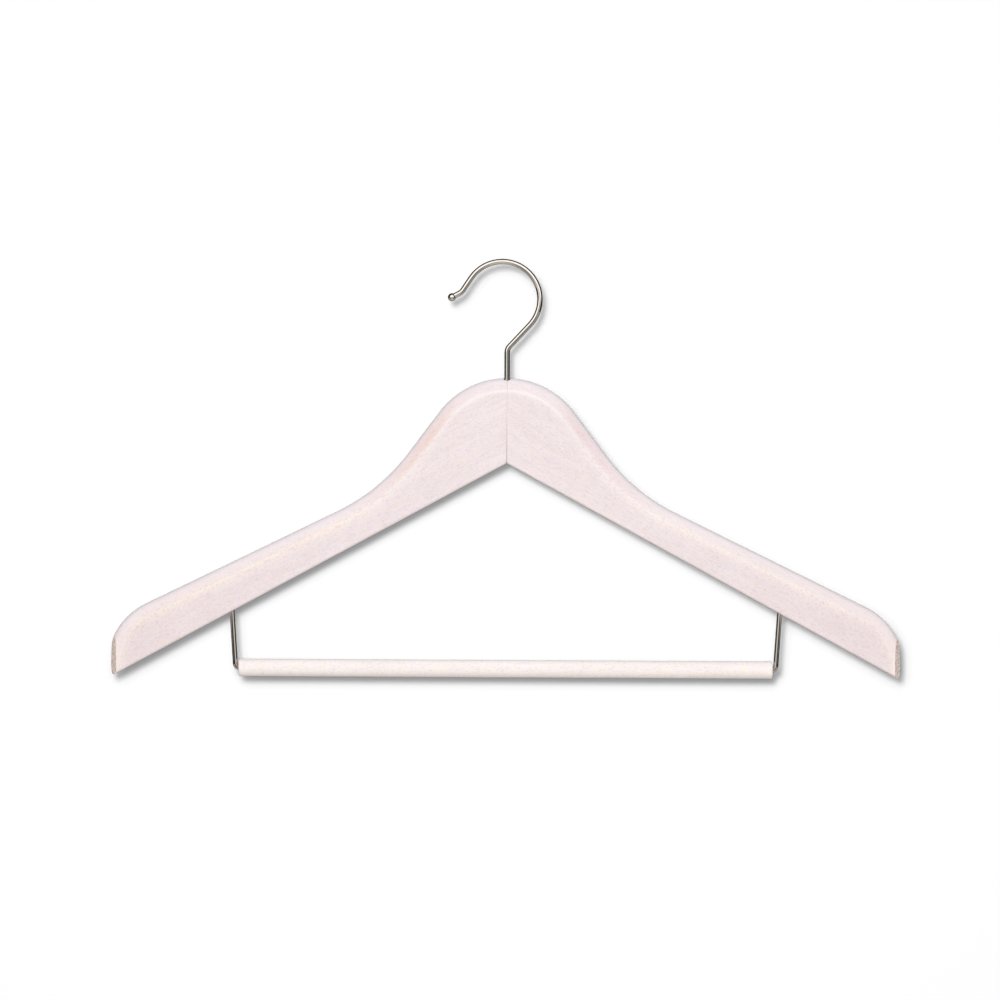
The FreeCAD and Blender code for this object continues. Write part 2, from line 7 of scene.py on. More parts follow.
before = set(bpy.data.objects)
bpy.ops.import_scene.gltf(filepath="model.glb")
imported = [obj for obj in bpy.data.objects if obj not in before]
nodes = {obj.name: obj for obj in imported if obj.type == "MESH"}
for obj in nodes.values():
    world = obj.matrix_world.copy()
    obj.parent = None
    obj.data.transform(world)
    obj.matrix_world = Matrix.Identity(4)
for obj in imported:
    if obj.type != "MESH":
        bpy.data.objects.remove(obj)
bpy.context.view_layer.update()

# Sizes and places of the hanger are millimetres, and times MM they are metres
MM = 0.001
PER_MM = (1 / MM, 1 / MM, 1 / MM)

# Arm from above: the axis that its front face bends round, its reach from the seam, and its sawn end
FACE_AXIS = (0, -794.5 * MM, 0)
ARM_REACH = 225
# where the painted shade towards the ends begins
SHADE_FROM = 90
END_LEAN = math.radians(16.6)
END_REACH = 222.19  # from the origin, square to the sawn end
# the light band before the sawn end, rubbed wash with a painted highlight, and then the bare cut: where each
# starts and is whole
RUB_STARTS, RUB_WHOLE = END_REACH - 1.6, END_REACH - 0.2
CUT_STARTS, CUT_WHOLE = END_REACH - 0.12, END_REACH - 0.04

# Arm from the front: underside, seam, and an upper edge of crown, flank, hollow, shoulder and nose
UNDERSIDE = math.radians(28.6)
APEX_DROP = 114.27
SEAM_DARKENS, SEAM_DARKEST = -85, -111
CROWN_RADIUS, HOLLOW_RADIUS, NOSE_RADIUS = 48.4, 111, 38
CROWN_CENTRE = Vector((0, 0, -113.67))
FLANK, SHOULDER = math.radians(53.3), math.radians(26.15)
FLANK_NORMAL = Vector((math.sin(FLANK), 0, math.cos(FLANK)))
SHOULDER_NORMAL = Vector((math.sin(SHOULDER), 0, math.cos(SHOULDER)))
FLANK_REACH = CROWN_CENTRE.dot(FLANK_NORMAL) + CROWN_RADIUS
SHOULDER_REACH = -94.67 * math.cos(SHOULDER)  # its line meets the seam 94.67 below the origin


def between_lines(flank_reach, shoulder_reach):
    """The point that lies this far out square to the flank and this far out square to the shoulder."""
    spread = math.sin(FLANK - SHOULDER)
    out = (flank_reach * math.cos(SHOULDER) - shoulder_reach * math.cos(FLANK)) / spread
    up = (shoulder_reach * math.sin(FLANK) - flank_reach * math.sin(SHOULDER)) / spread
    return Vector((out, 0, up))


HOLLOW_CENTRE = between_lines(FLANK_REACH + HOLLOW_RADIUS, SHOULDER_REACH + HOLLOW_RADIUS)
NOSE_OUT = 188.7
NOSE_UP = (SHOULDER_REACH - NOSE_RADIUS) / math.cos(SHOULDER) - NOSE_OUT * math.tan(SHOULDER)
NOSE_CENTRE = Vector((NOSE_OUT, 0, NOSE_UP))

# Stretches after the crown: start, how a point is measured, and the sign and reach that make that a depth
EDGE_STRETCHES = [
    (34, "DOT_PRODUCT", FLANK_NORMAL, -1, FLANK_REACH),
    (52, "DISTANCE", HOLLOW_CENTRE, 1, -HOLLOW_RADIUS),
    (93, "DOT_PRODUCT", SHOULDER_NORMAL, -1, SHOULDER_REACH),
    (202, "DISTANCE", NOSE_CENTRE, -1, NOSE_RADIUS),
]
EDGE_BLEND = 4  # half the length over which one stretch turns into the next
ROUND_DEPTH = 10
RIDGE_TOP, RIDGE_FOOT = 3, 13

# Trouser bar: where its bare end starts from the middle, and where it is all bare
BARE_STARTS, BARE_WHOLE = 152.6, 152.8

# Ball of the hook: its middle, and how far from there the tumbled finish starts to fade and has gone
BALL = (-32 * MM, 0, -18.87 * MM)
TUMBLED_TO, TUMBLED_GONE = 2.2, 3

# Patterns of the beech: length and width, then detail, roughness and distortion of the noise
FIBRES = (8, 0.8), 4, 0.6, 0.4  # coarser than the real 0.2 mm, so that the render shows them
GROWTH_LAYERS = (90, 6), 2, 0.5, 0
RAYS = (1.6, 0.9), 2, 0.6, 0
WIPED_CLOUD = 24
PORE = 1  # coarser than the real 0.1 mm, so that the render shows them
SAW_LINE = (10, 5, 1.3)
SAW_LEAN = math.radians(35)
DOWEL_FIBRE = (8, 0.6, 0.6)
GRAIN_DEPTH = 0.1

# Marks on the nickel along X, Y and Z, coarser than the real 0.05 mm, so that the render shows them
HOOK_MARKS = (0.8, 0.8, 0.8)  # short, because the wire was bent and polished
BAR_WIRE_MARKS = (0.25, 0.25, 6)  # long drawing lines down the wire
NICKEL_CLOUD = 2.5
MARK_DEPTH = 0.02


def linear(colour):
    """An sRGB hex colour as linear red, green, blue and alpha."""
    shares = [int(colour[i:i + 2], 16) / 255 for i in (0, 2, 4)]
    return [s / 12.92 if s <= 0.04045 else ((s + 0.055) / 1.055) ** 2.4 for s in shares] + [1.0]


WHITE = linear("FFFFFF")
ROOM_WHITE = linear("FFFEFC")


def add(tree, kind, inputs, stops=None, **settings):
    """Adds a node; an input takes a value or the socket that feeds it, and a ramp takes its stops."""
    node = tree.nodes.new("ShaderNode" + kind)
    for name, value in settings.items():
        setattr(node, name, value)
    for name, value in inputs.items():
        if isinstance(value, bpy.types.NodeSocket):
            tree.links.new(value, node.inputs[name])
        else:
            node.inputs[name].default_value = value
    if stops:
        elements = node.color_ramp.elements
        while len(elements) < len(stops):
            elements.new(1)
        for element, (place, colour) in zip(elements, stops):
            element.position, element.color = place, linear(colour)
    return node


def start_material(name):
    material = bpy.data.materials.new(name)
    material.use_nodes = True
    tree = material.node_tree
    tree.nodes.clear()
    return material, tree


def wash_on_beech(tree, place, turn, light, deep, fleck):
    """White wash over beech: the colour that shows, the height of its fibres, and its flecks.

    The wash is thin, so the fibres, the growth layers and the short rays of the beech still show through.
    """
    along = add(tree, "Mapping", {"Vector": place, "Rotation": (0, turn, 0), "Scale": PER_MM}).outputs[0]
    patterns = []
    for (length, width), detail, roughness, distortion in (FIBRES, GROWTH_LAYERS, RAYS):
        per_size = (1 / length, 1 / width, 1 / width)
        stretched = add(tree, "VectorMath", {0: along, 1: per_size}, operation="MULTIPLY")
        pattern = add(tree, "TexNoise", {
            "Vector": stretched.outputs[0], "Scale": 1, "Detail": detail, "Roughness": roughness,
            "Distortion": distortion})
        patterns.append(pattern.outputs[0])
    fibres, layers, rays = patterns
    wiped = add(tree, "TexNoise", {"Vector": along, "Scale": 1 / WIPED_CLOUD, "Detail": 2, "Roughness": 0.5})

    layer_share = add(tree, "MapRange", {"Value": layers, "From Min": 0.36, "From Max": 0.64, "To Max": 0.7})
    wiped_share = add(tree, "MapRange", {
        "Value": wiped.outputs[0], "From Min": 0.3, "From Max": 0.7,
        "To Min": -0.25, "To Max": 0.35}, clamp=False)
    depth = add(tree, "Math", {0: layer_share.outputs[0], 1: wiped_share.outputs[0]},
                operation="ADD", use_clamp=True)
    washed = add(tree, "Mix", {0: depth.outputs[0], 6: linear(light), 7: linear(deep)}, data_type="RGBA")
    fibre_share = add(tree, "MapRange", {"Value": fibres, "From Min": 0.42, "From Max": 0.72, "To Max": 0.5})
    streaked = add(tree, "Mix", {0: fibre_share.outputs[0], 6: washed.outputs[2], 7: linear(fleck)},
                   data_type="RGBA")
    # rays: cream where the wash took less, cool where it lies thick
    fleck_tint = add(tree, "ValToRGB", {"Fac": rays}, stops=[
        (0.3, "F3EBF1"), (0.44, "FBF7FA"), (0.54, "FFFCFB"), (0.68, "FFF8EB")])
    flecked = add(tree, "Mix", {0: 1.0, 6: streaked.outputs[2], 7: fleck_tint.outputs[0]},
                  data_type="RGBA", blend_type="MULTIPLY")
    return flecked.outputs[2], fibres, rays


def end_grain(tree, place, light, deep):
    """Sawn beech across the grain: the colour of its open pores and saw lines, and their height."""
    across = add(tree, "Mapping", {"Vector": place, "Scale": PER_MM}).outputs[0]
    pores = add(tree, "TexVoronoi", {"Vector": across, "Scale": 1 / PORE, "Randomness": 1})
    # saw lines, leaning as the blade went through
    per_line = tuple(1 / size for size in SAW_LINE)
    leaning = add(tree, "Mapping", {"Vector": across, "Rotation": (SAW_LEAN, 0, 0), "Scale": per_line})
    saw = add(tree, "TexNoise", {"Vector": leaning.outputs[0], "Scale": 1, "Detail": 2})
    open_share = add(tree, "MapRange", {
        "Value": pores.outputs["Distance"], "From Min": 0.15, "From Max": 0.55})
    saw_share = add(tree, "MapRange", {"Value": saw.outputs[0], "From Min": 0.35, "From Max": 0.65})
    rough = add(tree, "Mix", {0: 0.5, 2: open_share.outputs[0], 3: saw_share.outputs[0]})
    colour = add(tree, "Mix", {0: rough.outputs[0], 6: linear(deep), 7: linear(light)}, data_type="RGBA")
    return colour.outputs[2], rough.outputs[0]


def inside_upper_edge(tree, mm, side):
    """How deep a point of an arm lies below its upper edge, and how far out from the seam it lies."""
    out = add(tree, "VectorMath", {0: mm, 1: (side, 0, 0)}, operation="DOT_PRODUCT").outputs["Value"]
    front = add(tree, "VectorMath", {0: mm, 1: (side, 0, 1)}, operation="MULTIPLY").outputs[0]
    from_crown = add(tree, "VectorMath", {0: front, 1: CROWN_CENTRE}, operation="DISTANCE")
    inside = add(tree, "Math", {0: CROWN_RADIUS, 1: from_crown.outputs["Value"]}, operation="SUBTRACT")
    for start, measure, edge, sign, reach in EDGE_STRETCHES:
        measured = add(tree, "VectorMath", {0: front, 1: edge}, operation=measure).outputs["Value"]
        below = add(tree, "Math", {0: measured, 1: sign, 2: reach}, operation="MULTIPLY_ADD")
        past = add(tree, "MapRange", {
            "Value": out, "From Min": start - EDGE_BLEND, "From Max": start + EDGE_BLEND})
        inside = add(tree, "Mix", {0: past.outputs[0], 2: inside.outputs[0], 3: below.outputs[0]})
    return inside.outputs[0], out


def lean_from_faces(tree, place, normal):
    """How far the surface leans away from an arm's flat faces: 0 on them, 1 on the top and the underside."""
    spoke = add(tree, "VectorMath", {0: FACE_AXIS, 1: place}, operation="SUBTRACT")
    level = add(tree, "VectorMath", {0: spoke.outputs[0], 1: (1, 1, 0)}, operation="MULTIPLY")
    facing = add(tree, "VectorMath", {0: level.outputs[0]}, operation="NORMALIZE")
    square = add(tree, "VectorMath", {0: facing.outputs[0], 1: normal}, operation="CROSS_PRODUCT")
    return add(tree, "VectorMath", {0: square.outputs[0]}, operation="LENGTH").outputs["Value"]


def rounded_edge(tree, colour, lean, inside, along, flush):
    """On the rounded edge the colour is painted paler the more the surface leans out of the faces, painted
    light; down the flank a flush tint is laid along the rounding.
    """
    # painted light: the further the surface leans out of the flat faces, the paler it is painted
    lean_light = add(tree, "ValToRGB", {"Fac": lean}, stops=[
        (0.0, "000000"), (0.16, "101010"), (0.45, "686868"), (0.7, "A8A8A8"), (1.0, "B8B8B8")])
    painted_top_light = add(tree, "Mix", {0: lean_light.outputs[0], 6: colour, 7: linear("F8F3F5")}, data_type="RGBA")
    across = add(tree, "MapRange", {"Value": inside, "From Min": 0, "From Max": ROUND_DEPTH})
    on_round = add(tree, "ValToRGB", {"Fac": across.outputs[0]}, stops=[
        (0.0, "000000"), (0.1, "606060"), (0.28, "D0D0D0"), (0.48, "FFFFFF"), (0.66, "C0C0C0"),
        (0.8, "000000")])
    on_flank = add(tree, "ValToRGB", {"Fac": along}, stops=[
        (0.07, "000000"), (0.13, "909090"), (0.19, "FFFFFF"), (0.24, "F0F0F0"), (0.3, "B0B0B0"),
        (0.4, "000000")])
    share = add(tree, "Math", {0: on_round.outputs[0], 1: on_flank.outputs[0]}, operation="MULTIPLY")
    tint = add(tree, "Mix", {0: share.outputs[0], 6: WHITE, 7: linear(flush)}, data_type="RGBA")
    flushed = add(tree, "Mix", {0: 1.0, 6: painted_top_light.outputs[2], 7: tint.outputs[2]},
                  data_type="RGBA", blend_type="MULTIPLY")
    return flushed.outputs[2]


def ridge_highlight(tree, colour, inside, along, flecks, cream):
    """Painted highlight along the ridge where the rounding meets the face: crisp and white round the crown,
    then wider along the arms and mixed with cream flecks of rubbed wash.
    """
    band = add(tree, "MapRange", {"Value": inside, "From Min": RIDGE_TOP, "From Max": RIDGE_FOOT})
    crisp = add(tree, "ValToRGB", {"Fac": band.outputs[0]}, stops=[
        (0.2, "000000"), (0.35, "909090"), (0.43, "FFFFFF"), (0.48, "F0F0F0"), (0.59, "808080"),
        (0.7, "000000")])
    wide = add(tree, "ValToRGB", {"Fac": band.outputs[0]}, stops=[
        (0.0, "000000"), (0.3, "B0B0B0"), (0.42, "FFFFFF"), (0.52, "D8D8D8"), (0.75, "909090"),
        (1.0, "000000")])
    rubbed = add(tree, "MapRange", {"Value": along, "From Min": 0.12, "From Max": 0.22})
    profile = add(tree, "Mix", {0: rubbed.outputs[0], 6: crisp.outputs[0], 7: wide.outputs[0]},
                  data_type="RGBA")
    strength = add(tree, "ValToRGB", {"Fac": along}, stops=[
        (0.0, "E1E1E1"), (0.1, "E1E1E1"), (0.15, "B3B3B3"), (0.28, "C4C4C4"), (0.4, "FFFFFF"),
        (0.84, "FFFFFF"), (0.97, "C0C0C0")])
    fleck_share = add(tree, "MapRange", {
        "Value": flecks, "From Min": 0.34, "From Max": 0.62, "To Min": 0.3, "To Max": 1})
    speckled = add(tree, "Mix", {0: rubbed.outputs[0], 2: 1.0, 3: fleck_share.outputs[0]})
    even = add(tree, "Math", {0: profile.outputs[2], 1: strength.outputs[0]}, operation="MULTIPLY")
    share = add(tree, "Math", {0: even.outputs[0], 1: speckled.outputs[0]}, operation="MULTIPLY")
    tint = add(tree, "ValToRGB", {"Fac": along}, stops=[
        (0.0, "F5EFF0"), (0.12, "F5EFF0"), (0.2, "F8F0EC"), (0.28, "F8F0EC"), (0.42, cream), (1.0, cream)])
    # painted highlight, with cream flecks of rubbed wash, laid over the colour
    highlighted = add(tree, "Mix", {0: share.outputs[0], 6: colour, 7: tint.outputs[0]}, data_type="RGBA")
    return highlighted.outputs[2]


def shaded_ends(tree, colour, out):
    """Towards the ends the colour is painted a little darker, painted shade where the arm's face turns away
    from the light.
    """
    share = add(tree, "MapRange", {"Value": out, "From Min": SHADE_FROM, "From Max": ARM_REACH})
    tint = add(tree, "Mix", {0: share.outputs[0], 6: WHITE, 7: linear("FDFBFA")}, data_type="RGBA")
    toned = add(tree, "Mix", {0: 1.0, 6: colour, 7: tint.outputs[2]}, data_type="RGBA", blend_type="MULTIPLY")
    return toned.outputs[2]


def rubbed_underside(tree, colour, mm, side):
    """The lower arris is rubbed to cream, over the lowest millimetre of the faces."""
    square = (side * math.sin(UNDERSIDE), 0, math.cos(UNDERSIDE))
    rise = add(tree, "VectorMath", {0: mm, 1: square}, operation="DOT_PRODUCT").outputs["Value"]
    above = add(tree, "Math", {0: rise, 1: APEX_DROP * math.cos(UNDERSIDE)}, operation="ADD")
    share = add(tree, "ValToRGB", {"Fac": above.outputs[0]}, stops=[
        (0.0, "000000"), (0.05, "707070"), (0.6, "909090"), (1.0, "000000")])
    arris = add(tree, "Mix", {0: share.outputs[0], 6: colour, 7: linear("E2D6D0")}, data_type="RGBA")
    return arris.outputs[2]


def glued_seam(tree, colour, mm, out):
    """Glue line in the fine V between the arms: half a millimetre to each side, and darker low down."""
    line = add(tree, "ValToRGB", {"Fac": out}, stops=[
        (0.0, "606060"), (0.3, "606060"), (0.48, "000000"), (1.0, "000000")])
    height = add(tree, "SeparateXYZ", {0: mm}).outputs["Z"]
    darker = add(tree, "MapRange", {
        "Value": height, "From Min": SEAM_DARKENS, "From Max": SEAM_DARKEST, "To Min": 1, "To Max": 4.5})
    share = add(tree, "Math", {0: line.outputs[0], 1: darker.outputs[0]},
                operation="MULTIPLY", use_clamp=True)
    seamed = add(tree, "Mix", {0: share.outputs[0], 6: colour, 7: linear("B5A6A2")}, data_type="RGBA")
    return seamed.outputs[2]


def sawn_end(tree, colour, place, mm, side):
    """Bare saw cut at the end of an arm, and before it a light band, rubbed wash with a painted highlight of
    a rounded arris: colour, share and height.
    """
    square = (side * math.cos(END_LEAN), -math.sin(END_LEAN), 0)
    reach = add(tree, "VectorMath", {0: mm, 1: square}, operation="DOT_PRODUCT").outputs["Value"]
    cut = add(tree, "MapRange", {"Value": reach, "From Min": CUT_STARTS, "From Max": CUT_WHOLE})
    # the light band before the cut is partly a painted highlight, where a rounded arris would catch the light
    rubbed = add(tree, "MapRange", {
        "Value": reach, "From Min": RUB_STARTS, "From Max": RUB_WHOLE, "To Max": 0.6})
    light_edge = add(tree, "Mix", {0: rubbed.outputs[0], 6: colour, 7: linear("F6E6DF")}, data_type="RGBA")
    bare, bare_height = end_grain(tree, place, light="FDEFE8", deep="AE9388")
    finished = add(tree, "Mix", {0: cut.outputs[0], 6: light_edge.outputs[2], 7: bare}, data_type="RGBA")
    return finished.outputs[2], cut.outputs[0], bare_height


def washed_arm(name, side, cream, flush):
    """Beech arm, planed, routed round the top and white-washed under satin lacquer.

    To the eye: pale pink faces with faint fibres, a rounded edge painted paler as painted light, a painted
    highlight along the ridge where the rounding meets the face, a cream lower arris, and bare brownish
    saw-cut ends.
    """
    material, tree = start_material(name)
    at = add(tree, "TexCoord", {})
    place = at.outputs["Object"]
    mm = add(tree, "Mapping", {"Vector": place, "Scale": PER_MM}).outputs[0]
    inside, out = inside_upper_edge(tree, mm, side)
    along = add(tree, "MapRange", {"Value": out, "From Min": 0, "From Max": ARM_REACH}).outputs[0]
    lean = lean_from_faces(tree, place, at.outputs["Normal"])

    colour, height, flecks = wash_on_beech(
        tree, place, turn=-side * UNDERSIDE, light="EBE5E9", deep="E6DFE2", fleck="DCD0D0")
    colour = rounded_edge(tree, colour, lean, inside, along, flush)
    colour = ridge_highlight(tree, colour, inside, along, flecks, cream)
    colour = shaded_ends(tree, colour, out)
    colour = rubbed_underside(tree, colour, mm, side)
    colour = glued_seam(tree, colour, mm, out)
    colour, cut, bare_height = sawn_end(tree, colour, place, mm, side)

    relief = add(tree, "Mix", {0: cut, 2: height, 3: bare_height})
    satin = add(tree, "MapRange", {
        "Value": height, "From Min": 0.3, "From Max": 0.7, "To Min": 0.42, "To Max": 0.54})
    roughness = add(tree, "Mix", {0: cut, 2: satin.outputs[0], 3: 0.8})
    bump = add(tree, "Bump", {"Height": relief.outputs[0], "Strength": 0.25, "Distance": GRAIN_DEPTH * MM})
    surface = add(tree, "BsdfPrincipled", {
        "Base Color": colour, "Roughness": roughness.outputs[0], "IOR": 1.5, "Normal": bump.outputs[0]})
    add(tree, "OutputMaterial", {"Surface": surface.outputs[0]})
    return material


def washed_bar():
    """Round beech bar, turned and white-washed: paler than the arms, fibres straight along it, bare ends."""
    material, tree = start_material("white-washed beech, turned bar")
    place = add(tree, "TexCoord", {}).outputs["Object"]
    mm = add(tree, "Mapping", {"Vector": place, "Scale": PER_MM}).outputs[0]
    colour, height, _ = wash_on_beech(tree, place, turn=0, light="F7F5F4", deep="F3F0EE", fleck="EBE3DF")
    side = add(tree, "SeparateXYZ", {0: mm}).outputs["X"]
    out = add(tree, "Math", {0: side}, operation="ABSOLUTE").outputs[0]
    cut = add(tree, "MapRange", {
        "Value": out, "From Min": BARE_STARTS, "From Max": BARE_WHOLE, "To Max": 0.7})
    bare, bare_height = end_grain(tree, place, light="F4E7DF", deep="D3BFB3")
    finished = add(tree, "Mix", {0: cut.outputs[0], 6: colour, 7: bare}, data_type="RGBA")
    relief = add(tree, "Mix", {0: cut.outputs[0], 2: height, 3: bare_height})
    satin = add(tree, "MapRange", {
        "Value": height, "From Min": 0.3, "From Max": 0.7, "To Min": 0.48, "To Max": 0.6})
    bump = add(tree, "Bump", {"Height": relief.outputs[0], "Strength": 0.25, "Distance": GRAIN_DEPTH * MM})
    surface = add(tree, "BsdfPrincipled", {
        "Base Color": finished.outputs[2], "Roughness": satin.outputs[0], "IOR": 1.5,
        "Normal": bump.outputs[0]})
    add(tree, "OutputMaterial", {"Surface": surface.outputs[0]})
    return material


def nickel_wire(name, marks):
    """Drawn steel wire, bright nickel plate: a warm grey mirror, a little clouded, with fine marks.

    The ball of the hook was tumbled after it was upset, so it is softer to the eye.
    """
    material, tree = start_material(name)
    place = add(tree, "TexCoord", {}).outputs["Object"]
    cloud = add(tree, "TexNoise", {"Vector": place, "Scale": 1 / (NICKEL_CLOUD * MM), "Detail": 3})
    per_mark = tuple(1 / (size * MM) for size in marks)
    along = add(tree, "VectorMath", {0: place, 1: per_mark}, operation="MULTIPLY")
    drawn = add(tree, "TexNoise", {"Vector": along.outputs[0], "Scale": 1, "Detail": 2})
    bright = add(tree, "MapRange", {
        "Value": cloud.outputs[0], "From Min": 0.3, "From Max": 0.7, "To Min": 0.05, "To Max": 0.11})
    from_ball = add(tree, "VectorMath", {0: place, 1: BALL}, operation="DISTANCE").outputs["Value"]
    tumbled = add(tree, "MapRange", {
        "Value": from_ball, "From Min": TUMBLED_TO * MM, "From Max": TUMBLED_GONE * MM,
        "To Min": 0.16, "To Max": 0})
    roughness = add(tree, "Math", {0: bright.outputs[0], 1: tumbled.outputs[0]}, operation="MAXIMUM")
    tone = add(tree, "Mix", {0: drawn.outputs[0], 6: linear("D9D4CD"), 7: linear("C5BFB8")}, data_type="RGBA")
    bump = add(tree, "Bump", {"Height": drawn.outputs[0], "Strength": 0.08, "Distance": MARK_DEPTH * MM})
    surface = add(tree, "BsdfPrincipled", {
        "Base Color": tone.outputs[2], "Metallic": 1.0, "Roughness": roughness.outputs[0],
        "Normal": bump.outputs[0]})
    add(tree, "OutputMaterial", {"Surface": surface.outputs[0]})
    return material


def bare_dowel():
    """Turned beech dowel, bare: reddish brown with short fibres. It is glued inside, so it doesn't show."""
    material, tree = start_material("bare beech, turned dowel")
    place = add(tree, "TexCoord", {}).outputs["Object"]
    per_fibre = tuple(1 / (size * MM) for size in DOWEL_FIBRE)
    along = add(tree, "VectorMath", {0: place, 1: per_fibre}, operation="MULTIPLY")
    fibres = add(tree, "TexNoise", {"Vector": along.outputs[0], "Scale": 1, "Detail": 3}).outputs[0]
    colour = add(tree, "Mix", {0: fibres, 6: linear("D9B48F"), 7: linear("B98A63")}, data_type="RGBA")
    bump = add(tree, "Bump", {"Height": fibres, "Strength": 0.2, "Distance": GRAIN_DEPTH * MM})
    surface = add(tree, "BsdfPrincipled", {
        "Base Color": colour.outputs[2], "Roughness": 0.6, "IOR": 1.5, "Normal": bump.outputs[0]})
    add(tree, "OutputMaterial", {"Surface": surface.outputs[0]})
    return material


def give(material, *names):
    for name in names:
        node = nodes[name]
        node.data.materials.clear()
        node.data.materials.append(material)


give(washed_arm("white-washed beech, right arm", side=1, cream="F6ECE6", flush="F9EEEE"), "right_arm")
give(washed_arm("white-washed beech, left arm", side=-1, cream="F6EBE0", flush="FAEBE2"), "left_arm")
give(washed_bar(), "trouser_bar")
give(nickel_wire("bright nickel plate, hook wire", HOOK_MARKS), "hook", "hook_sleeve")
give(nickel_wire("bright nickel plate, bar wire", BAR_WIRE_MARKS), "left_bar_wire", "right_bar_wire")
give(bare_dowel(), "upper_dowel", "lower_dowel")


# Camera: long lens, straight from the front, rolled as the photo is; sizes from here on are metres
CAMERA_DISTANCE = 2.6
VIEW_WIDTH = 0.576
SENSOR_WIDTH = 36
AIM = Vector((-0.0037, 0, -0.1355))
ROLL = math.radians(0.3)
camera = bpy.data.objects.new("camera", bpy.data.cameras.new("camera"))
camera.data.sensor_width = SENSOR_WIDTH
camera.data.lens = SENSOR_WIDTH * CAMERA_DISTANCE / VIEW_WIDTH
camera.data.clip_end = 20
camera.location = AIM - Vector((0, CAMERA_DISTANCE, 0))
camera.rotation_euler = (Matrix.Rotation(-ROLL, 3, "Y") @ Matrix.Rotation(math.pi / 2, 3, "X")).to_euler()
bpy.context.collection.objects.link(camera)
bpy.context.scene.camera = camera
bpy.context.scene.view_settings.view_transform = "Standard"


def stage_sheet(name, centre, width, height, tilt, material):
    """A flat sheet that faces up, and then tilts about the X axis."""
    shape = bmesh.new()
    sized = Matrix.Diagonal((width / 2, height / 2, 1, 1))
    placed = Matrix.Translation(centre) @ Matrix.Rotation(tilt, 4, "X") @ sized
    bmesh.ops.create_grid(shape, x_segments=1, y_segments=1, size=1, matrix=placed)
    mesh = bpy.data.meshes.new(name)
    shape.to_mesh(mesh)
    shape.free()
    mesh.materials.append(material)
    sheet = bpy.data.objects.new(name, mesh)
    bpy.context.collection.objects.link(sheet)
    return sheet


# Spot of the paper that gleams in the metal: the middle of it, and its size
GLEAM_HEIGHT = -0.1
GLEAM_SIZE = 1 / 6


def stage_paper(name, albedo, glow, diffuse_glow, glossy_glow, gleam, fade):
    """Matt paper for the stage, seen from its front only; what it throws back on the hanger is set apart."""
    material, tree = start_material(name)
    path = add(tree, "LightPath", {})
    place = add(tree, "TexCoord", {}).outputs["Object"]
    matt = add(tree, "BsdfDiffuse", {"Color": linear(albedo)})
    own = add(tree, "Emission", {"Color": linear("F8F8FC"), "Strength": glow})
    near = add(tree, "AddShader", {0: matt.outputs[0], 1: own.outputs[0]})
    # away from the hanger the paper fades into the white of the room, so no edge of it shows
    away = add(tree, "VectorMath", {0: place}, operation="LENGTH").outputs["Value"]
    far_share = add(tree, "MapRange", {"Value": away, "From Min": fade[0], "From Max": fade[1]})
    far = add(tree, "Emission", {"Color": ROOM_WHITE, "Strength": 1.0})
    seen = add(tree, "MixShader", {0: far_share.outputs[0], 1: near.outputs[0], 2: far.outputs[0]})
    to_wood = add(tree, "Emission", {"Color": linear("FFFBF6"), "Strength": diffuse_glow})
    # a spot behind the hanger is brighter in the metal, which gives the wires a light line from the back
    spot = add(tree, "Mapping", {
        "Vector": place, "Location": (0, 0, -GLEAM_HEIGHT / GLEAM_SIZE),
        "Scale": (1 / GLEAM_SIZE, 0, 1 / GLEAM_SIZE)})
    apart = add(tree, "VectorMath", {0: spot.outputs[0]}, operation="LENGTH").outputs["Value"]
    mirrored = add(tree, "MapRange", {
        "Value": apart, "From Min": 0.7, "From Max": 1.3, "To Min": gleam, "To Max": glossy_glow})
    to_metal = add(tree, "Emission", {"Color": linear("FFFBF6"), "Strength": mirrored.outputs[0]})
    thrown = add(tree, "MixShader", {
        0: path.outputs["Is Glossy Ray"], 1: to_wood.outputs[0], 2: to_metal.outputs[0]})
    front = add(tree, "MixShader", {
        0: path.outputs["Is Camera Ray"], 1: thrown.outputs[0], 2: seen.outputs[0]})
    clear = add(tree, "BsdfTransparent", {})
    behind = add(tree, "NewGeometry", {}).outputs["Backfacing"]
    one_sided = add(tree, "MixShader", {0: behind, 1: front.outputs[0], 2: clear.outputs[0]})
    add(tree, "OutputMaterial", {"Surface": one_sided.outputs[0]})
    return material


def set_apart(name, members):
    """A collection of the objects that a lamp lights, or that stand in its way."""
    collection = bpy.data.collections.new(name)
    for member in members:
        collection.objects.link(member)
    return collection


# Stage: white board behind the hanger, clear of it when it swivels, and a pale floor below the picture
STAGE_WIDTH = 4
BOARD_BACK = 0.25
BOARD_HEIGHT = 2.6
FLOOR_HEIGHT = -0.6
FLOOR_DEPTH = 2.25
board_paper = stage_paper(
    "matt white paper, backdrop", albedo="404040", glow=0.2, diffuse_glow=0.41, glossy_glow=0.02,
    gleam=0.7, fade=(0.55, 1.1))
floor_paper = stage_paper(
    "matt white paper, floor", albedo="D8D8D6", glow=0.42, diffuse_glow=0.62, glossy_glow=0.6,
    gleam=0.6, fade=(0.65, 1.7))
board_middle = (0, BOARD_BACK, FLOOR_HEIGHT + BOARD_HEIGHT / 2)
floor_middle = (0, BOARD_BACK - FLOOR_DEPTH / 2, FLOOR_HEIGHT)
board = stage_sheet("backdrop", board_middle, STAGE_WIDTH, BOARD_HEIGHT, math.pi / 2, board_paper)
stage_sheet("floor", floor_middle, STAGE_WIDTH, FLOOR_DEPTH, 0, floor_paper)


